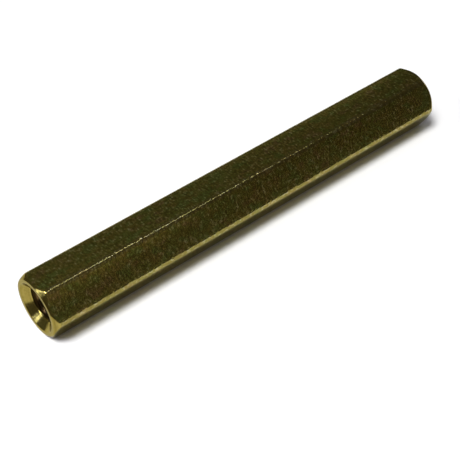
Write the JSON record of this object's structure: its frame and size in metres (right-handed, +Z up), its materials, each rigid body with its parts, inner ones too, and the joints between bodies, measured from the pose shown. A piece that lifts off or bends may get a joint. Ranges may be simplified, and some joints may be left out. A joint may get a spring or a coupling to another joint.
{
  "type": "hex standoff",
  "caption": "Brass hexagonal spacer, chamfered at both ends, with a countersunk tapped hole in each end for joining boards or panels at a set distance.",
  "frame": {"origin": "on the flat that it lies on, at the middle of the length", "axes": "+X along the bar, +Z up out of the upper flat, +Y across the corners"},
  "size_m": [0.045, 0.0062, 0.0055],
  "materials": {
    "brass": "tumbled, satin, with bright turned ends"
  },
  "bodies": {
    "root": {"hex_standoff": "brass"}
  },
  "joints": []
}
